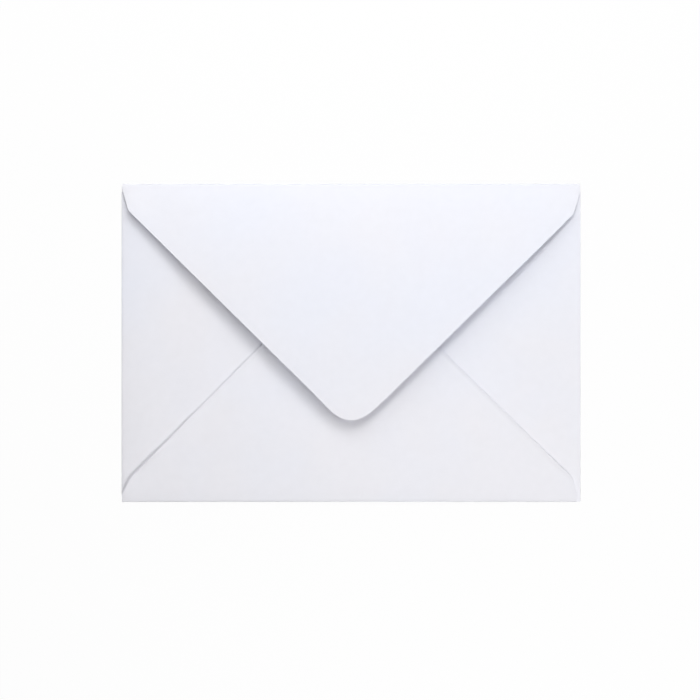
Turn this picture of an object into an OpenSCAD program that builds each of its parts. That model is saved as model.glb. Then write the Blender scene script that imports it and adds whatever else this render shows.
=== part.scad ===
// A pointed-flap paper envelope, shown from its back with the flap folded down but not stuck.
// It is one die-cut sheet: a front panel with a flap folded in from each of its four sides.
// The front panel lies on Z = 0, X runs along the long edge and +Y points to the top flap's fold.

/* [Envelope] */
// Length of the closed envelope
env_w = 163; // [150:0.5:200]
// Height of the closed envelope
env_h = 113; // [104:0.5:140]
// Thickness of the paper
paper_t = 0.15; // [0.08:0.01:0.3]
// Height of the empty pocket, between the front panel and the side flaps
pocket_gap = 0.9; // [0.4:0.1:2]
// How far the gum draws the bottom flap into the side flaps where they lap
lap_press = 0.01; // [0.005:0.005:0.03]

/* [Top flap] */
// Depth from the fold to the rounded tip
top_depth = 84; // [60:0.5:98]
// Radius of the rounded tip
top_tip_r = 10; // [3:0.5:20]
// Length of the flap's root that runs straight down from the fold at full width
top_root = 2.4; // [1:0.1:5]
// Depth at which the steep shoulder turns into the slanting edge
top_shoulder = 10.5; // [7:0.5:16]
// How far the shoulder lies in from the envelope's end
top_inset = 3; // [1:0.1:8]
// Radius of the shoulder's corner
top_shoulder_r = 3; // [0.5:0.5:6]
// Angle at which the sprung flap leaves its fold, in degrees above flat
spring_angle = 12; // [5:0.5:25]
// Angle that the flap comes to far from the fold
end_angle = -1.5; // [-2:0.1:3]
// Distance over which the fold's spring dies away
relax_length = 28; // [12:1:50]

/* [Bottom flap] */
// Depth from the bottom fold to the rounded tip
bottom_depth = 72; // [55:0.5:88]
// Radius of the rounded tip, hidden under the top flap
bottom_tip_r = 34; // [10:1:42]
// How far the flap's root lies in from the envelope's end
bottom_root_inset = 0.4; // [0.2:0.1:1.5]
// Height at which the steep shoulder turns into the slanting edge
bottom_shoulder = 9.1; // [6:0.1:14]
// How far the shoulder lies in from the envelope's end
bottom_inset = 3.1; // [2:0.1:8]
// Radius of the shoulder's corner
bottom_shoulder_r = 4; // [0.5:0.5:6]

/* [Side flaps] */
// Depth from the side fold to the rounded tip
side_depth = 57.5; // [45:0.5:68]
// Radius of the rounded tip
side_tip_r = 12; // [3:0.5:20]
// Length cut out of each end of the side fold, so that the flaps don't jam in the corners
side_end_gap = 2.8; // [1:0.1:5]
// Depth at which the flap's end turns into the slanting edge
side_shoulder = 9; // [5:0.5:14]
// How much narrower each end of the flap is at its shoulder than at its fold
side_taper = 0.7; // [0.2:0.1:3]
// Radius of the shoulder's corner
side_shoulder_r = 2.5; // [0.5:0.5:5]

/* [Corners] */
// Corner of the front panel and of the top fold that is cut away, along X
relief_x = 0.9; // [0.3:0.1:2]
// The same corner, along Y
relief_y = 2.2; // [0.5:0.1:4]
// Width of the slit between a side fold's end and the front panel's corner
corner_slit = 0.4; // [0.1:0.1:1]

/* [Hidden] */
$fn = 64;

paper_white = [0.94, 0.94, 0.97];

// Straight steps in a quarter turn of a fold, in a rounded corner, and along the sprung flap
bend_steps = 8;
corner_steps = 12;
flap_steps = 28;

// How far a cutting outline runs past the edge that it leaves whole, and a fold into its panel
overrun = 1;

half_w = env_w / 2;
half_h = env_h / 2;

// Outer radii of the folds: each flap folds over one layer more than the flap before it
side_fold_r = paper_t + pocket_gap / 2;
bottom_fold_r = side_fold_r + (paper_t - lap_press) / 2;
top_fold_r = bottom_fold_r + paper_t / 2;
envelope_z = 2 * top_fold_r;

// Slopes of the sprung flap at its fold and far from it, as rise over run
spring_slope = tan(spring_angle);
end_slope = tan(end_angle);

function backwards(list) = [for (i = [len(list) - 1:-1:0]) list[i]];

// Depth of the sharp point whose rounding puts a flap's tip at the depth asked for
function point_depth(half_width, shoulder, depth, radius) =
    let (
        run = depth - radius - shoulder,
        toward_centre = atan2(half_width, run),
        half_angle = toward_centre - asin(radius / norm([half_width, run]))
    )
    shoulder + half_width / tan(half_angle);

// Points of the arc that rounds the corner at b between a and c
function corner_arc(a, b, c, radius) =
    let (
        to_a = (a - b) / norm(a - b),
        to_c = (c - b) / norm(c - b),
        half_angle = acos(to_a * to_c) / 2,
        middle = (to_a + to_c) / norm(to_a + to_c),
        centre = b + middle * radius / sin(half_angle),
        start = b + to_a * radius / tan(half_angle) - centre,
        end = b + to_c * radius / tan(half_angle) - centre,
        turn = atan2(start.x * end.y - start.y * end.x, start * end)
    )
    [for (i = [0:corner_steps])
        let (angle = turn * i / corner_steps)
        centre + [
            start.x * cos(angle) - start.y * sin(angle),
            start.x * sin(angle) + start.y * cos(angle)
        ]];

// An outline of corners, each [x, y, radius], with every corner that has a radius made an arc
function rounded(corners) =
    let (last = len(corners) - 1, flat = [for (corner = corners) [corner.x, corner.y]])
    [for (i = [0:last])
        each corners[i].z == 0
            ? [flat[i]]
            : corner_arc(flat[i == 0 ? last : i - 1], flat[i], flat[i == last ? 0 : i + 1], corners[i].z)];

// Corners of one half of a flap, from its root to its shoulder, made into the whole outline
function flap_outline(half, point, tip_r) =
    rounded(concat(
        half,
        [[0, point, tip_r]],
        [for (corner = backwards(half)) [-corner.x, corner.y, corner.z]]
    ));

top_half_w = half_w - top_inset;
top_outline = flap_outline(
    [[half_w, -overrun, 0], [half_w, top_root, 0], [top_half_w, top_shoulder, top_shoulder_r]],
    point_depth(top_half_w, top_shoulder, top_depth, top_tip_r),
    top_tip_r
);

bottom_root_half_w = half_w - bottom_root_inset;
bottom_half_w = half_w - bottom_inset;
bottom_outline = flap_outline(
    [[bottom_root_half_w, -overrun, 0], [bottom_root_half_w, 0, 0],
        [bottom_half_w, bottom_shoulder, bottom_shoulder_r]],
    point_depth(bottom_half_w, bottom_shoulder, bottom_depth, bottom_tip_r),
    bottom_tip_r
);

side_root_half_w = half_h - side_end_gap;
side_half_w = side_root_half_w - side_taper;
side_outline = flap_outline(
    [[side_root_half_w, -overrun, 0], [side_root_half_w, 2 * side_fold_r, 0],
        [side_half_w, side_shoulder, side_shoulder_r]],
    point_depth(side_half_w, side_shoulder, side_depth, side_tip_r),
    side_tip_r
);

// Height gained by the sprung flap's underside at a distance from the end of its fold, and its angle
function spring_rise(run) =
    end_slope * run + (spring_slope - end_slope) * relax_length * (1 - exp(-run / relax_length));
function spring_turn(run) =
    atan(end_slope + (spring_slope - end_slope) * exp(-run / relax_length));

// One face of the top flap's section: out of the front panel, round the fold and along the sprung flap
function top_face(radius) =
    let (
        quarter = 90 / bend_steps,
        angles = concat(
            [for (i = [0:bend_steps]) 270 - quarter * i],
            [for (i = [1:bend_steps]) 180 - (quarter - spring_angle / bend_steps) * i]
        ),
        bend = [for (angle = angles) [top_fold_r + radius * cos(angle), top_fold_r + radius * sin(angle)]],
        inner_r = top_fold_r - paper_t,
        lift = radius - inner_r,
        from = [top_fold_r - inner_r * sin(spring_angle), top_fold_r + inner_r * cos(spring_angle)],
        length = top_depth + overrun - from.x
    )
    concat(
        [[top_fold_r + overrun, top_fold_r - radius]],
        bend,
        [for (i = [1:flap_steps])
            let (run = length * i / flap_steps, turn = spring_turn(run))
            from + [run - lift * sin(turn), spring_rise(run) + lift * cos(turn)]]
    );

// Stands a section, drawn as depth from a fold and height, along a fold, clipped to an outline
module folded(outline, half_length) {
    intersection() {
        rotate([90, 0, 90])
            linear_extrude(height = 2 * half_length + 2 * overrun, center = true)
                children();
        linear_extrude(height = 4 * top_depth, center = true)
            polygon(outline);
    }
}

// Section of a flap that lies flat: out of the front panel, round a half-round fold and back over it
module flat_section(fold_r, depth) {
    translate([fold_r, 0])
        square([overrun, paper_t]);
    intersection() {
        translate([fold_r, fold_r])
            difference() {
                circle(r = fold_r);
                circle(r = fold_r - paper_t);
            }
        translate([-overrun, -overrun])
            square([fold_r + overrun, 2 * (fold_r + overrun)]);
    }
    translate([fold_r, 2 * fold_r - paper_t])
        square([depth + overrun - fold_r, paper_t]);
}

// The front panel between its folds, with a strip left out for each side fold
module front_panel() {
    panel_top = half_h - top_fold_r;
    panel_bottom = bottom_fold_r - half_h;
    color(paper_white)
        linear_extrude(height = paper_t)
            difference() {
                translate([-half_w, panel_bottom])
                    square([2 * half_w, panel_top - panel_bottom]);
                for (side = [-1, 1])
                    translate([side * half_w, 0])
                        square([2 * side_fold_r, 2 * (side_root_half_w + corner_slit)], center = true);
            }
}

// The left or right flap, folded in first
module side_flap(side) {
    color(paper_white)
        translate([side * half_w, 0, 0])
            rotate([0, 0, side * 90])
                folded(side_outline, half_h)
                    flat_section(side_fold_r, side_depth);
}

// The bottom flap, folded up over the side flaps and stuck to them
module bottom_flap() {
    color(paper_white)
        translate([0, -half_h, 0])
            folded(bottom_outline, half_w)
                flat_section(bottom_fold_r, bottom_depth);
}

// The top flap, folded down last and sprung open because nothing holds it
module top_flap() {
    color(paper_white)
        translate([0, half_h, 0])
            rotate([0, 0, 180])
                folded(top_outline, half_w)
                    polygon(concat(top_face(top_fold_r), backwards(top_face(top_fold_r - paper_t))));
}

// Cuts a top corner off the front panel and the top fold
module corner_relief(side) {
    translate([side * half_w, half_h, 0])
        linear_extrude(height = 4 * envelope_z, center = true)
            polygon([
                [side * overrun, -relief_y * (1 + overrun / relief_x)],
                [-side * relief_x * (1 + overrun / relief_y), overrun],
                [side * overrun, overrun]
            ]);
}

module folded_sheet() {
    color(paper_white)
        difference() {
            union() {
                front_panel();
                for (side = [-1, 1])
                    side_flap(side);
                bottom_flap();
                top_flap();
            }
            for (side = [-1, 1])
                corner_relief(side);
        }
}

folded_sheet();
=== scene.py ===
"""A pointed-flap paper envelope, lying on its front with its unstuck flap sprung open a little.

One sheet of paper is modelled flat, folded over at its four edges and drawn out into its flaps,
row by row, along the same outlines and fold radii as the CAD sheet that it stands for.
"""

import math

import bmesh
import bpy
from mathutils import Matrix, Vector


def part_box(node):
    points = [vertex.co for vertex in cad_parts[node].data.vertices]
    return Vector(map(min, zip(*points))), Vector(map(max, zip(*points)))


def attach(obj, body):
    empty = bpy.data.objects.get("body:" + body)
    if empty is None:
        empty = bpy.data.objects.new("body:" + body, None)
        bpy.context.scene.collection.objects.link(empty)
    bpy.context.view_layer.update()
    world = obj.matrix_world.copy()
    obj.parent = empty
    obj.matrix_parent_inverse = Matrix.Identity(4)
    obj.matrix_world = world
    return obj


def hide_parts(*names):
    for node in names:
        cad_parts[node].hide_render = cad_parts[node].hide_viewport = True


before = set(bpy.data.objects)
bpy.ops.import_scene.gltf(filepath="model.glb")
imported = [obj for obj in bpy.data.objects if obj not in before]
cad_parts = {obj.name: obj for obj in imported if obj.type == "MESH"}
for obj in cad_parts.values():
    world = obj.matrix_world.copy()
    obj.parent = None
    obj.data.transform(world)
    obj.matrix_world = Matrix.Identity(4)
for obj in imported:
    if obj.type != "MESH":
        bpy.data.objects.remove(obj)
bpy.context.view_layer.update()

MM = 0.001

# The closed envelope, from the frame, and how far its folds stay inside the CAD sheet's box
BOX_GAP = 0.01 * MM
SHEET_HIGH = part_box("folded_sheet")[1]
HALF_W = SHEET_HIGH.x - BOX_GAP
HALF_H = SHEET_HIGH.y - BOX_GAP

# The paper and its folds: each flap folds over one layer more than the flap before it
PAPER = 0.15 * MM
POCKET = 0.9 * MM
LAP_PRESS = 0.01 * MM
SIDE_FOLD_R = PAPER + POCKET / 2
BOTTOM_FOLD_R = SIDE_FOLD_R + (PAPER - LAP_PRESS) / 2
TOP_FOLD_R = BOTTOM_FOLD_R + PAPER / 2

# Top flap's outline, with a row half-way out from its fold's narrower end to its full width
TOP_DEPTH = 83.83 * MM
TOP_TIP_R = 10 * MM
TOP_ROOT = 2.4 * MM
TOP_CORNER_ROW = 0.6 * TOP_ROOT
TOP_SHOULDER = 10.5 * MM
TOP_INSET = 2.9 * MM
TOP_SHOULDER_R = 2 * MM

# How far the top flap lies off square: its drift up to the shoulder, and its lean from there on
TOP_DRIFT = 0.6 * MM
TOP_LEAN = -0.0022

# Where the top flap's tip starts, and how much more it leans
TIP_START = 74 * MM
TIP_LEAN = -0.04

# How the top flap springs up from its fold
SPRING_ANGLE = math.radians(12)
END_SLOPE = math.tan(math.radians(-1.5))
RELAX_LENGTH = 28 * MM

# Width of the top flap's ends, and how they differ from the outline: side, root's and shoulder's move
TOP_END_WIDTH = 2 * TOP_INSET
TOP_END_MOVES = (
    (1, (-0.15 * MM, -0.6 * MM, -0.15 * MM), (-0.4 * MM, -0.3 * MM, -0.3 * MM)),
    (-1, (0.25 * MM, 0.5 * MM, -0.25 * MM), (-0.75 * MM, 0.75 * MM, 0.5 * MM)),
)

# Bottom flap, which lies a little to the left: its root steps in before it reaches the shoulder
BOTTOM_DEPTH = 72.8 * MM
BOTTOM_TIP_R = 34 * MM
BOTTOM_SHIFT = -0.52 * MM
BOTTOM_ROOT = 2.8 * MM
BOTTOM_ROOT_INSET = 0.68 * MM
BOTTOM_STEP = 4.2 * MM
BOTTOM_STEP_INSET = 1.45 * MM
BOTTOM_SHOULDER = 8.4 * MM
BOTTOM_INSET = 2.95 * MM
BOTTOM_SHOULDER_R = 4 * MM
BOTTOM_DRIFT = 0.72 * MM
BOTTOM_LEAN = -0.0165

# How the bottom flap's margins stand up outside the gum: side, depths from and to, reach and height
MARGIN_PULLS = (
    (-1, 2.5 * MM, 60 * MM, 1.7 * MM, 0.27 * MM),
    (-1, 4 * MM, 30 * MM, 5 * MM, 0.2 * MM),
    (-1, 2.5 * MM, 18 * MM, 3 * MM, 0.3 * MM),
    (1, 2.5 * MM, 60 * MM, 1.5 * MM, 0.25 * MM),
    (1, 2.5 * MM, 16 * MM, 3 * MM, 0.1 * MM),
    (1, 4.5 * MM, 60 * MM, 4 * MM, 0.1 * MM),
)

# Side flaps: they start to taper at their bend, a little past the fold
SIDE_DEPTH = 57.5 * MM
SIDE_TIP_R = 12 * MM
SIDE_END_GAP = 2.8 * MM
SIDE_ROOT = 2 * SIDE_FOLD_R
SIDE_BEND = 3 * SIDE_FOLD_R
SIDE_SHOULDER = 9 * MM
SIDE_TAPER = 0.7 * MM
SIDE_BEND_TAPER = SIDE_TAPER / 5
SIDE_SHOULDER_R = 2.5 * MM

# How much further down the right side fold runs than the left one, and its outer corner beyond that
RIGHT_FOLD_EXTRA = 2.5 * MM
RIGHT_CORNER_EXTRA = 0.3 * MM

# Width and height of the right side fold's end
RIGHT_END_WIDTH = 3.2 * SIDE_FOLD_R
RIGHT_END_HEIGHT = SIDE_TAPER / 4

# Corners: how far the top fold stops short of the ends, and the slit beside each side fold
TOP_FOLD_INSET = 0.3 * MM
CORNER_SLIT = 0.4 * MM

# How far the folds are pressed below the pocket's height, and how soon the layers rise again
PRESS_DEPTH = 0.63 * MM
PRESS_REACH = 5 * MM

# Share of each fold's bulge that the press leaves
CREASE_SHARE = 0.4

# Gentle waves of the back's layers: height, level that stays put, width, and fade from the folds
WAVE_HEIGHT = 0.7 * MM
WAVE_LEVEL = 0.6
WAVE_WIDTH = 32 * MM
WAVE_FADE = 14 * MM

# Dried gum on the underside of the top flap: gap to its cut edge, width, and the fade at each side
GUM_GAP = 2 * MM
GUM_WIDTH = 11 * MM
GUM_FADE = 0.8 * MM

# Share of the top flap's rise above which a point belongs to it
FLAP_SHARE = 0.6

# Mesh density
COLUMNS = 76
EDGE_COLUMNS = (1.3 * MM, 0.9 * MM, 0.6 * MM)
SIDE_ROWS = 36
FOLD_STEPS = 10
CORNER_STEPS = 6
TIP_STEPS = 10
ROW_SPACING = 2.5 * MM

# Distance within which two points are the same, and the angle above which an edge stays crisp
SAME_POINT = 0.001 * MM
CRISP_ANGLE = math.radians(40)


def point_depth(half_width, shoulder, depth, radius):
    """Depth of the sharp point whose rounding puts a flap's tip at the depth asked for."""
    run = depth - radius - shoulder
    half_angle = math.atan2(half_width, run) - math.asin(radius / math.hypot(half_width, run))
    return shoulder + half_width / math.tan(half_angle)


def corner_arc(before, corner, after, radius, steps):
    """Points of the arc that rounds a corner between its two neighbours."""
    before, corner, after = Vector(before), Vector(corner), Vector(after)
    to_before = (before - corner).normalized()
    to_after = (after - corner).normalized()
    half_angle = to_before.angle(to_after) / 2
    reach = radius / math.tan(half_angle)
    centre = corner + (to_before + to_after).normalized() * radius / math.sin(half_angle)
    start = corner + to_before * reach - centre
    end = corner + to_after * reach - centre
    turn = math.atan2(start.x * end.y - start.y * end.x, start.dot(end))
    points = []
    for step in range(steps + 1):
        sine = math.sin(turn * step / steps)
        cosine = math.cos(turn * step / steps)
        x = start.x * cosine - start.y * sine
        y = start.x * sine + start.y * cosine
        points.append(centre + Vector((x, y)))
    return points


def soft_point(before, corner, after, radius, steps):
    """Points of a parabola that rounds a corner as far from it as an arc of the radius would."""
    before, corner, after = Vector(before), Vector(corner), Vector(after)
    to_before = (before - corner).normalized()
    to_after = (after - corner).normalized()
    half_angle = to_before.angle(to_after) / 2
    reach = 2 * radius * (1 / math.sin(half_angle) - 1) / math.cos(half_angle)
    points = []
    for step in range(steps + 1):
        share = step / steps
        points.append(corner + reach * ((1 - share) ** 2 * to_before + share ** 2 * to_after))
    return points


def between(start, goal):
    """Evenly spaced rows on the way from one row to another."""
    way = goal - start
    count = math.ceil(way.length / ROW_SPACING)
    return [start + way * step / count for step in range(1, count)]


def flap_rows(root, shoulder, depth, shoulder_r, tip_r, round_tip=corner_arc):
    """Half-widths and depths of a flap's rows, from its root round its shoulder to its tip."""
    point = (0, point_depth(*shoulder, depth, tip_r))
    other_shoulder = (-shoulder[0], shoulder[1])
    rows = [Vector(place) for place in root]
    corner = corner_arc(root[-1], shoulder, point, shoulder_r, CORNER_STEPS)
    tip = round_tip(shoulder, point, other_shoulder, tip_r, 2 * TIP_STEPS)[:TIP_STEPS + 1]
    tip[-1].x = 0
    return rows + between(rows[-1], corner[0]) + corner + between(corner[-1], tip[0]) + tip


def deselect_all():
    """Leaves nothing selected, because operators act on all that is."""
    bpy.ops.object.select_all(action="DESELECT")
    bpy.context.view_layer.objects.active = None


def near(value, target):
    """Whether a coordinate is the one looked for."""
    return abs(value - target) < SAME_POINT


def select_edges(inside):
    """Selects only the edges whose two ends both pass a test."""
    bpy.ops.mesh.select_all(action="DESELECT")
    mesh = bpy.context.edit_object.data
    shape = bmesh.from_edit_mesh(mesh)
    for edge in shape.edges:
        if all(inside(vertex.co) for vertex in edge.verts):
            edge.select_set(True)
    bmesh.update_edit_mesh(mesh)


def select_points(inside, rim_only=False):
    """Selects only the points in sight that pass a test, or only those of them on a cut edge."""
    bpy.ops.mesh.select_mode(type="VERT")
    bpy.ops.mesh.select_all(action="DESELECT")
    mesh = bpy.context.edit_object.data
    shape = bmesh.from_edit_mesh(mesh)
    for vertex in shape.verts:
        on_rim = vertex.is_boundary or not rim_only
        vertex.select_set(on_rim and not vertex.hide and inside(vertex.co))
    bmesh.update_edit_mesh(mesh)


def extrude(move):
    """Extrudes the selected edges by a move."""
    bpy.ops.mesh.extrude_region_move(TRANSFORM_OT_translate={"value": move})


def add_front_panel():
    """The front panel, drawn out past the side folds' ends to the other two folds, with its corners."""
    bpy.ops.mesh.primitive_grid_add(
        x_subdivisions=COLUMNS, y_subdivisions=SIDE_ROWS, size=1, location=(0, 0, PAPER / 2)
    )
    sheet = bpy.context.active_object
    sheet.name = "paper_sheet"
    side_x = HALF_W - SIDE_FOLD_R
    side_y = HALF_H - SIDE_END_GAP
    grid_x = side_x - sum(EDGE_COLUMNS)
    bpy.ops.transform.resize(value=(2 * grid_x, 2 * side_y, 1))
    bpy.ops.object.transform_apply(location=True, rotation=True, scale=True)
    bpy.ops.object.mode_set(mode="EDIT")
    bpy.ops.mesh.select_mode(type="EDGE")
    bpy.ops.mesh.select_all(action="SELECT")
    bpy.ops.mesh.flip_normals()
    for side in (1, -1):
        column_x = grid_x
        for step in EDGE_COLUMNS:
            select_edges(lambda co: near(co.x, side * column_x))
            extrude((side * step, 0, 0))
            column_x += step
    for way, fold_r, fold_inset, shift in (
        (1, TOP_FOLD_R, TOP_FOLD_INSET, 0),
        (-1, BOTTOM_FOLD_R, BOTTOM_ROOT_INSET, BOTTOM_SHIFT),
    ):
        fold_y = HALF_H - fold_r
        select_edges(lambda co: near(co.y, way * side_y))
        extrude((0, way * CORNER_SLIT, 0))
        extrude((0, way * (fold_y - side_y - CORNER_SLIT), 0))
        for side in (1, -1):
            corner_x = side * side_x
            end_x = side * (HALF_W - fold_inset) + shift
            if side * end_x > side_x:
                select_edges(lambda co: (
                    near(co.x, side * side_x) and way * co.y > side_y + CORNER_SLIT / 2
                ))
                extrude((side * SIDE_FOLD_R, 0, 0))
                corner_x = side * HALF_W
            select_points(lambda co: near(co.x, corner_x) and near(co.y, way * fold_y))
            bpy.ops.transform.translate(value=(end_x - corner_x, 0, 0))
            bpy.ops.mesh.select_mode(type="EDGE")
    return sheet


def spring_rise(run):
    """Height that the sprung flap gains at a distance from the end of its fold."""
    spring = math.tan(SPRING_ANGLE) - END_SLOPE
    return END_SLOPE * run + spring * RELAX_LENGTH * (1 - math.exp(-run / RELAX_LENGTH))


def lean(depth, root, shoulder, drift, slope):
    """How far a flap's row lies to the right, for a flap that isn't quite square to its fold."""
    drift_share = min(1, max(0, depth - root) / (shoulder - root))
    return drift * drift_share + slope * max(0, depth - shoulder)


def draw_out(rows, first, place, along):
    """Extrudes a fold's selected end through a flap's rows, narrowing each row to its half-width."""
    narrowest = SAME_POINT / COLUMNS
    half_width = first
    at = place(None)
    for row in rows:
        goal = place(row.y)
        goal_width = max(row.x, narrowest)
        extrude(goal - at)
        squeeze = Vector((1, 1, 1)) + (goal_width / half_width - 1) * along
        bpy.ops.transform.resize(value=squeeze, center_override=goal)
        half_width = goal_width
        at = goal


def add_top_flap():
    """Turns the top fold and draws out the top flap, which springs up and lies a bit off square."""
    fold_y = HALF_H - TOP_FOLD_R
    middle_r = TOP_FOLD_R - PAPER / 2
    select_edges(lambda co: near(co.y, fold_y))
    bpy.ops.mesh.spin(
        steps=FOLD_STEPS,
        angle=SPRING_ANGLE - math.pi,
        center=(0, fold_y, TOP_FOLD_R),
        axis=(1, 0, 0),
    )
    end_y = fold_y + middle_r * math.sin(SPRING_ANGLE)
    end_z = TOP_FOLD_R + middle_r * math.cos(SPRING_ANGLE)

    def place(depth):
        if depth is None:
            return Vector((0, end_y, end_z))
        shift = lean(depth, TOP_ROOT, TOP_SHOULDER, TOP_DRIFT, TOP_LEAN)
        tip_shift = TIP_LEAN * max(0, depth - TIP_START)
        y = HALF_H - depth
        return Vector((shift + tip_shift, y, end_z + spring_rise(end_y - y)))

    full_w = HALF_W - TOP_FOLD_INSET
    rows = flap_rows(
        [((full_w + HALF_W) / 2, TOP_CORNER_ROW), (HALF_W, TOP_ROOT)],
        (HALF_W - TOP_INSET, TOP_SHOULDER), TOP_DEPTH, TOP_SHOULDER_R, TOP_TIP_R, soft_point,
    )
    draw_out(rows, full_w, place, Vector((1, 0, 0)))
    move_top_ends()


def move_top_ends():
    """Shifts the root and the shoulder at each end of the top flap, with the edge between them."""
    select_points(lambda co: co.z > PAPER and HALF_H - co.y > TOP_ROOT - SAME_POINT)
    bpy.ops.mesh.hide(unselected=True)
    for side, root_move, shoulder_move in TOP_END_MOVES:
        for depth, reach, move in (
            (TOP_ROOT, SAME_POINT, root_move),
            (TOP_SHOULDER, TOP_SHOULDER_R / 2, shoulder_move),
        ):
            select_points(lambda co: (
                side * co.x > HALF_W - TOP_END_WIDTH and abs(HALF_H - co.y - depth) < reach
            ), rim_only=True)
            bpy.ops.transform.translate(
                value=move,
                use_proportional_edit=True,
                proportional_edit_falloff="LINEAR",
                proportional_size=TOP_SHOULDER - TOP_ROOT,
            )
    bpy.ops.mesh.reveal(select=False)
    bpy.ops.mesh.select_mode(type="EDGE")


def lift_margins(layer_z):
    """Raises the bottom flap's two slanting margins, which are free outside the line of gum."""
    select_points(lambda co: near(co.z, layer_z) and co.y > 2 * BOTTOM_FOLD_R - HALF_H)
    bpy.ops.mesh.hide(unselected=True)
    for side, low, high, reach, height in MARGIN_PULLS:
        select_points(lambda co: side * co.x > 0 and low < co.y + HALF_H < high, rim_only=True)
        bpy.ops.transform.translate(
            value=(0, 0, height),
            use_proportional_edit=True,
            proportional_edit_falloff="SMOOTH",
            proportional_size=reach,
        )
    bpy.ops.mesh.reveal(select=False)
    bpy.ops.mesh.select_mode(type="EDGE")


def add_bottom_flap():
    """Turns the bottom fold and draws out the bottom flap over the side flaps."""
    fold_y = HALF_H - BOTTOM_FOLD_R
    select_edges(lambda co: near(co.y, -fold_y))
    bpy.ops.mesh.spin(
        steps=FOLD_STEPS,
        angle=math.pi,
        center=(0, -fold_y, BOTTOM_FOLD_R),
        axis=(1, 0, 0),
    )
    layer_z = 2 * BOTTOM_FOLD_R - PAPER / 2

    def place(depth):
        depth = BOTTOM_FOLD_R if depth is None else depth
        shift = lean(depth, BOTTOM_ROOT, BOTTOM_SHOULDER, BOTTOM_DRIFT, BOTTOM_LEAN)
        return Vector((BOTTOM_SHIFT + shift, depth - HALF_H, layer_z))

    full_w = HALF_W - BOTTOM_ROOT_INSET
    rows = flap_rows(
        [
            (full_w, 2 * BOTTOM_FOLD_R),
            (full_w, BOTTOM_ROOT),
            (HALF_W - BOTTOM_STEP_INSET, BOTTOM_STEP),
        ],
        (HALF_W - BOTTOM_INSET, BOTTOM_SHOULDER), BOTTOM_DEPTH, BOTTOM_SHOULDER_R, BOTTOM_TIP_R,
    )
    draw_out(rows, full_w, place, Vector((1, 0, 0)))
    lift_margins(layer_z)


def add_side_flap(side):
    """Turns one side fold and draws out its flap, under the bottom and top flaps."""
    fold_x = HALF_W - SIDE_FOLD_R
    root_y = HALF_H - SIDE_END_GAP
    select_edges(lambda co: near(co.x, side * fold_x) and abs(co.y) < root_y + SAME_POINT)
    bpy.ops.mesh.spin(
        steps=FOLD_STEPS,
        angle=side * math.pi,
        center=(side * fold_x, 0, SIDE_FOLD_R),
        axis=(0, 1, 0),
    )
    layer_z = 2 * SIDE_FOLD_R - PAPER / 2

    def place(depth):
        return Vector((side * (HALF_W - (SIDE_FOLD_R if depth is None else depth)), 0, layer_z))

    rows = flap_rows(
        [(root_y, SIDE_ROOT), (root_y - SIDE_BEND_TAPER, SIDE_BEND)],
        (root_y - SIDE_TAPER, SIDE_SHOULDER), SIDE_DEPTH, SIDE_SHOULDER_R, SIDE_TIP_R,
    )
    draw_out(rows, root_y, place, Vector((0, 1, 0)))
    if side > 0:
        select_points(lambda co: (
            co.x > HALF_W - RIGHT_END_WIDTH
            and PAPER < co.z < layer_z + SAME_POINT
            and -root_y - SAME_POINT < co.y < RIGHT_END_HEIGHT - root_y
        ))
        bpy.ops.transform.translate(value=(0, -RIGHT_FOLD_EXTRA, 0))
        fold_end = -root_y - RIGHT_FOLD_EXTRA
        select_points(lambda co: (
            co.x > fold_x - SAME_POINT and co.z > PAPER and near(co.y, fold_end)
        ))
        bpy.ops.transform.translate(value=(0, -RIGHT_CORNER_EXTRA, 0))
        bpy.ops.mesh.select_mode(type="EDGE")


def narrow_creases():
    """Narrows the bulge of each fold to a tight crease along the envelope's edge."""
    side_layer_z = 2 * SIDE_FOLD_R - PAPER / 2
    for side, low in ((1, -HALF_H - PAPER), (-1, BOTTOM_FOLD_R - HALF_H)):
        select_points(lambda co: (
            side * co.x > HALF_W - SIDE_FOLD_R - SAME_POINT
            and low + SAME_POINT < co.y < HALF_H - TOP_FOLD_R - SAME_POINT
            and co.z < side_layer_z + SAME_POINT
        ))
        edge_x = side * (HALF_W - PAPER / 2)
        bpy.ops.transform.resize(value=(CREASE_SHARE, 1, 1), center_override=(edge_x, 0, 0))
    for way, fold_r in ((1, TOP_FOLD_R), (-1, BOTTOM_FOLD_R)):
        select_points(lambda co: way * co.y > HALF_H - fold_r - SAME_POINT)
        edge_y = way * (HALF_H - PAPER / 2)
        bpy.ops.transform.resize(value=(1, CREASE_SHARE, 1), center_override=(0, edge_y, 0))


def from_fold(co):
    """Distance in from the nearest of the envelope's four sides."""
    return max(0, min(HALF_W - abs(co.x), HALF_H - abs(co.y)))


def displace(sheet, name, height, level, share, texture=None):
    """Raises each point by a height times its share and times its texture's value less the level."""
    group = sheet.vertex_groups.new(name=name)
    for vertex in sheet.data.vertices:
        group.add([vertex.index], share(vertex.co), "REPLACE")
    lift = sheet.modifiers.new(name, "DISPLACE")
    lift.vertex_group = group.name
    lift.direction = "Z"
    lift.strength = height
    lift.mid_level = level
    lift.texture = texture
    lift.texture_coords = "LOCAL"
    bpy.ops.object.modifier_apply(modifier=lift.name)


def press_folds(sheet):
    """Lowers the layers above the pocket towards the folds, which are pressed flatter than it."""
    layer_rise = 2 * SIDE_FOLD_R - PAPER

    def share(co):
        return min(1, (co.z - PAPER / 2) / layer_rise) * math.exp(-from_fold(co) / PRESS_REACH)

    displace(sheet, "pressed folds", -PRESS_DEPTH, 0, share)


def wave_back(sheet):
    """Gives the layers above the pocket shallow waves, which fade out at the folds."""
    clouds = bpy.data.textures.new("paper waves", type="CLOUDS")
    clouds.noise_scale = WAVE_WIDTH

    def share(co):
        reach = min(1, from_fold(co) / WAVE_FADE)
        return reach * reach * (3 - 2 * reach) if co.z > PAPER else 0

    displace(sheet, "gentle waves", WAVE_HEIGHT, WAVE_LEVEL, share, clouds)


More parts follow.
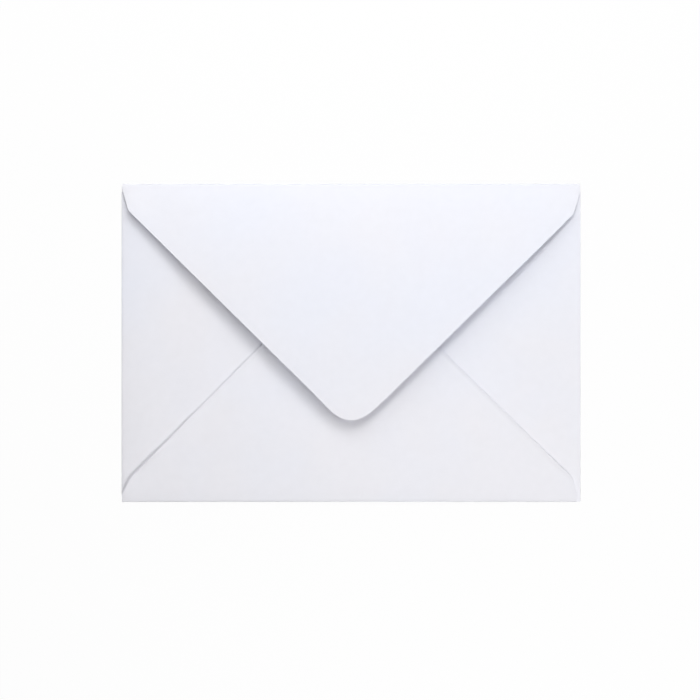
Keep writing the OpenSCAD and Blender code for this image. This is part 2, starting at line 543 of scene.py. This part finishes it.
def mark_gum(sheet):
    """Marks the band of gum along the top flap's slanting edges and tip, as a share from 0 to 1."""
    half_w = HALF_W - TOP_INSET
    point = point_depth(half_w, TOP_SHOULDER, TOP_DEPTH, TOP_TIP_R)
    slope_length = math.hypot(half_w, point - TOP_SHOULDER)
    end_y = HALF_H - TOP_FOLD_R
    gum = sheet.data.attributes.new(name="gum", type="FLOAT", domain="POINT")
    for vertex in sheet.data.vertices:
        depth = HALF_H - vertex.co.y
        run = max(0, end_y - vertex.co.y)
        flap_z = 2 * TOP_FOLD_R + FLAP_SHARE * spring_rise(run)
        in_flap = vertex.co.z > flap_z and depth > TOP_SHOULDER
        along_x = abs(vertex.co.x) * (point - TOP_SHOULDER) + (depth - TOP_SHOULDER) * half_w
        from_side = (half_w * (point - TOP_SHOULDER) - along_x) / slope_length
        from_tip = TOP_TIP_R - math.hypot(vertex.co.x, depth - (TOP_DEPTH - TOP_TIP_R))
        from_edge = from_tip if depth > TOP_DEPTH - TOP_TIP_R / 2 else from_side
        share = min(from_edge - GUM_GAP, GUM_GAP + GUM_WIDTH - from_edge) / GUM_FADE
        gum.data[vertex.index].value = min(1, max(0, share)) if in_flap else 0


def make_sheet():
    """The whole folded sheet: its panel and flaps, pressed and waved, and then given its thickness."""
    deselect_all()
    sheet = add_front_panel()
    add_top_flap()
    add_bottom_flap()
    for side in (1, -1):
        add_side_flap(side)
    narrow_creases()
    bpy.ops.mesh.select_all(action="SELECT")
    bpy.ops.mesh.remove_doubles(threshold=SAME_POINT)
    bpy.ops.mesh.normals_make_consistent(inside=False)
    bpy.ops.object.mode_set(mode="OBJECT")
    press_folds(sheet)
    wave_back(sheet)
    thickness = sheet.modifiers.new("paper thickness", "SOLIDIFY")
    thickness.thickness = PAPER
    thickness.offset = 0
    thickness.material_offset = 1
    bpy.ops.object.modifier_apply(modifier=thickness.name)
    bpy.ops.object.shade_smooth_by_angle(angle=CRISP_ANGLE)
    mark_gum(sheet)
    return sheet


# Size and detail of the paper's blotches of tint, of its pulp's clouds and of its fibres
BLOTCHES = (45 * MM, 2)
FORMATION = (3 * MM, 3)
FIBRES = (0.4 * MM, 4)
NOISE_ROUGHNESS = 0.5
NOISE_RANGE = (0.3, 0.7)

# Paper's tint: where in the noise its random blotches lie, and the painted cool light that turns it
# cooler towards the top fold
BLOTCH_SHIFT = (0.95, 0.82, 0.62)
PAINTED_COOL_LIGHT = (0, 2, 0)
COOL_WHITE = (0.885, 0.9, 0.976, 1)
WARM_WHITE = (0.905, 0.9, 0.947, 1)

# Pulp's clouds: their share beside the fibres, and how far they shade the paper towards grey
FORMATION_SHARE = 0.6
FORMATION_SHADE = 0.05
PULP_GREY = (0.5, 0.5, 0.52, 1)

# Surface: its roughness and how far the fibres change it, its gloss, and the fibres' relief
ROUGHNESS = 0.78
FIBRE_ROUGHNESS = 0.14
GLOSS = 0.3
RELIEF_STRENGTH = 0.35
RELIEF_HEIGHT = 0.02 * MM

# Dried gum: its tint and how far it covers the paper, how far it smooths it, and its streaks
GUM_TINT = (0.86, 0.83, 0.74, 1)
GUM_COVER = 0.6
GUM_SMOOTHING = 0.5
STREAK_RANGE = (0.25, 0.5)

# Factor, first and second colour, and result, as the colour sockets of a Mix node are numbered
MIX_FACTOR = 0
MIX_FIRST = 6
MIX_SECOND = 7
MIX_RESULT = 2


class Wire:
    """A node's output, for maths written as Python expressions."""

    def __init__(self, finish, socket):
        self.finish = finish
        self.socket = socket

    def maths(self, operation, first, second):
        """The output of a Math node that works on two values."""
        return self.finish.node("ShaderNodeMath", {"operation": operation}, {0: first, 1: second})

    def __add__(self, other):
        return self.maths("ADD", self, other)

    def __sub__(self, other):
        return self.maths("SUBTRACT", self, other)

    def __rsub__(self, other):
        return self.maths("SUBTRACT", other, self)

    def __mul__(self, other):
        return self.maths("MULTIPLY", self, other)

    __radd__ = __add__
    __rmul__ = __mul__


class Finish:
    """The nodes of a material or of the world, and the one method that makes them."""

    def __init__(self, owner):
        self.owner = owner
        owner.use_nodes = True
        self.tree = owner.node_tree
        self.tree.nodes.clear()

    def node(self, kind, settings=None, inputs=None, output=0):
        """Adds a node with its settings, then its sockets' values or links, and gives one output."""
        made = self.tree.nodes.new(kind)
        for name, value in (settings or {}).items():
            setattr(made, name, value)
        for name, value in (inputs or {}).items():
            if isinstance(value, Wire):
                self.tree.links.new(value.socket, made.inputs[name])
            else:
                made.inputs[name].default_value = value
        return Wire(self, made.outputs[output] if len(made.outputs) else None)


def noise(finish, place, size, detail):
    """Soft noise about 0.5 whose blotches are about the size given."""
    return finish.node("ShaderNodeTexNoise", None, {
        "Vector": place, "Scale": 1 / size, "Detail": detail, "Roughness": NOISE_ROUGHNESS,
    })


def blend(finish, factor, first, second):
    """A colour that goes from the first to the second as the factor goes from 0 to 1."""
    colours = {MIX_FACTOR: factor, MIX_FIRST: first, MIX_SECOND: second}
    return finish.node("ShaderNodeMix", {"data_type": "RGBA"}, colours, output=MIX_RESULT)


def step_up(finish, value, low, high):
    """0 below the low value, 1 above the high one, and even between them."""
    span = {"Value": value, "From Min": low, "From Max": high}
    return finish.node("ShaderNodeMapRange", None, span)


def vector_maths(finish, operation, first, second, output):
    """The output of a Vector Math node that works on two vectors."""
    vectors = {0: first, 1: second}
    return finish.node("ShaderNodeVectorMath", {"operation": operation}, vectors, output=output)


def paper_finish(name, gummed):
    """Matt wove paper: cloudy from its pulp, with fine fibres, and glossier where dried gum is."""
    finish = Finish(bpy.data.materials.new(name))
    place = finish.node("ShaderNodeTexCoord", output="Object")
    blotch_place = vector_maths(finish, "ADD", place, BLOTCH_SHIFT, "Vector")
    blotches = noise(finish, blotch_place, *BLOTCHES)
    formation = noise(finish, place, *FORMATION)
    fibres = noise(finish, place, *FIBRES)
    # Painted cool light: the paper's tint is pushed cooler towards the top fold
    drift = vector_maths(finish, "DOT_PRODUCT", place, PAINTED_COOL_LIGHT, "Value")
    tone = blend(finish, step_up(finish, blotches + drift, *NOISE_RANGE), WARM_WHITE, COOL_WHITE)
    pulp = formation * FORMATION_SHARE + fibres * (1 - FORMATION_SHARE)
    shade = step_up(finish, pulp, *NOISE_RANGE) * FORMATION_SHADE
    tone = blend(finish, shade, tone, PULP_GREY)
    roughness = fibres * FIBRE_ROUGHNESS + ROUGHNESS
    if gummed:
        gum = finish.node("ShaderNodeAttribute", {"attribute_name": "gum"}, output="Fac")
        streaks = gum * step_up(finish, formation, *STREAK_RANGE)
        tone = blend(finish, streaks * GUM_COVER, tone, GUM_TINT)
        roughness = roughness - streaks * GUM_SMOOTHING
    bump = finish.node("ShaderNodeBump", None, {
        "Strength": RELIEF_STRENGTH, "Distance": RELIEF_HEIGHT, "Height": fibres,
    })
    shader = finish.node("ShaderNodeBsdfPrincipled", None, {
        "Base Color": tone, "Roughness": roughness, "Specular IOR Level": GLOSS, "Normal": bump,
    })
    finish.node("ShaderNodeOutputMaterial", None, {"Surface": shader})
    return finish.owner


# Backdrop: a pale floor just under the envelope, its share of plain white, and the room's faint light
WHITE = (1, 1, 1, 1)
FLOOR_SIZE = 6
FLOOR_DROP = 0.1 * MM
FLOOR_GREY = (0.9, 0.9, 0.9, 1)
FLOOR_WHITE_SHARE = 0.94
ROOM_LIGHT = 0.011

# Softboxes: name, azimuth and zenith in degrees, distance and side in metres, and level
SOFTBOXES = (
    ("high key softbox", 345, 25, 0.5, 0.225, 0.249),
    ("key softbox", 15, 45, 0.5, 0.225, 0.235),
    ("low key softbox", 345, 62, 0.5, 0.225, 0.118),
    ("front softbox", 162, 52, 0.5, 0.12, 0.256),
    ("far right fill", 90, 62, 1.3, 0.585, 0.105),
    ("far left fill", 270, 72, 1.3, 0.585, 0.03),
)

# Side of the square picture, and the envelope's length and centre in it, in pixels
FRAME_PX = 700
ENVELOPE_PX = 459
CENTRE_X_PX = 351.1
CENTRE_Y_PX = 342.85

# The camera's lens and sensor, in millimetres
LENS = 120
SENSOR = 36


def seen_white(finish, lit, white, share):
    """A lit surface that is white, to a share, where the eye, a gloss or a clear surface sees it."""
    rays = ("Is Camera Ray", "Is Glossy Ray", "Is Transmission Ray")
    eye, gloss, clear = [finish.node("ShaderNodeLightPath", output=ray) for ray in rays]
    surfaces = {0: (eye + gloss + clear) * share, 1: lit, 2: white}
    return finish.node("ShaderNodeMixShader", None, surfaces)


def make_floor():
    """The pale floor that keeps the envelope's shadow."""
    deselect_all()
    bpy.ops.mesh.primitive_plane_add(size=FLOOR_SIZE, location=(0, 0, -FLOOR_DROP))
    floor = bpy.context.active_object
    floor.name = "floor"
    finish = Finish(bpy.data.materials.new("pale floor"))
    lit = finish.node("ShaderNodeBsdfDiffuse", None, {"Color": FLOOR_GREY})
    white = finish.node("ShaderNodeEmission", None, {"Color": WHITE, "Strength": 1})
    mixed = seen_white(finish, lit, white, FLOOR_WHITE_SHARE)
    finish.node("ShaderNodeOutputMaterial", None, {"Surface": mixed})
    floor.data.materials.append(finish.owner)


def make_world():
    """A white backdrop whose own light on the envelope is faint."""
    world = bpy.data.worlds.new("soft room")
    bpy.context.scene.world = world
    finish = Finish(world)
    room = finish.node("ShaderNodeBackground", None, {"Color": WHITE, "Strength": ROOM_LIGHT})
    white = finish.node("ShaderNodeBackground", None, {"Color": WHITE, "Strength": 1})
    mixed = seen_white(finish, room, white, 1)
    finish.node("ShaderNodeOutputWorld", None, {"Surface": mixed})


def add_softbox(name, azimuth, zenith, distance, size, level):
    """A square light that lights a flat surface at the envelope to a level, where 1 is white."""
    turn = math.radians(azimuth)
    tilt = math.radians(zenith)
    out = math.sin(tilt)
    toward = Vector((math.sin(turn) * out, math.cos(turn) * out, math.cos(tilt)))
    bpy.ops.object.light_add(type="AREA", location=toward * distance)
    light = bpy.context.active_object
    light.name = name
    light.rotation_euler = toward.to_track_quat("Z", "Y").to_euler()
    light.data.shape = "SQUARE"
    light.data.size = size
    light.data.energy = level * math.pi ** 2 * distance ** 2 / math.cos(tilt)
    light.visible_camera = False


def make_camera():
    """A long lens straight above, framed as in the photograph."""
    metres_per_px = 2 * HALF_W / ENVELOPE_PX
    distance = FRAME_PX * metres_per_px * LENS / SENSOR
    bpy.ops.object.camera_add()
    camera = bpy.context.active_object
    camera.data.lens = LENS
    camera.data.sensor_width = SENSOR
    camera.location = (
        (FRAME_PX / 2 - CENTRE_X_PX) * metres_per_px,
        (CENTRE_Y_PX - FRAME_PX / 2) * metres_per_px,
        SIDE_FOLD_R + distance,
    )
    bpy.context.scene.camera = camera


sheet = make_sheet()
sheet.data.materials.append(paper_finish("white wove paper", gummed=False))
sheet.data.materials.append(paper_finish("inside of the paper", gummed=True))
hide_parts("folded_sheet")
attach(sheet, "root")

make_floor()
make_world()
for softbox in SOFTBOXES:
    add_softbox(*softbox)
make_camera()
bpy.context.scene.view_settings.view_transform = "Standard"
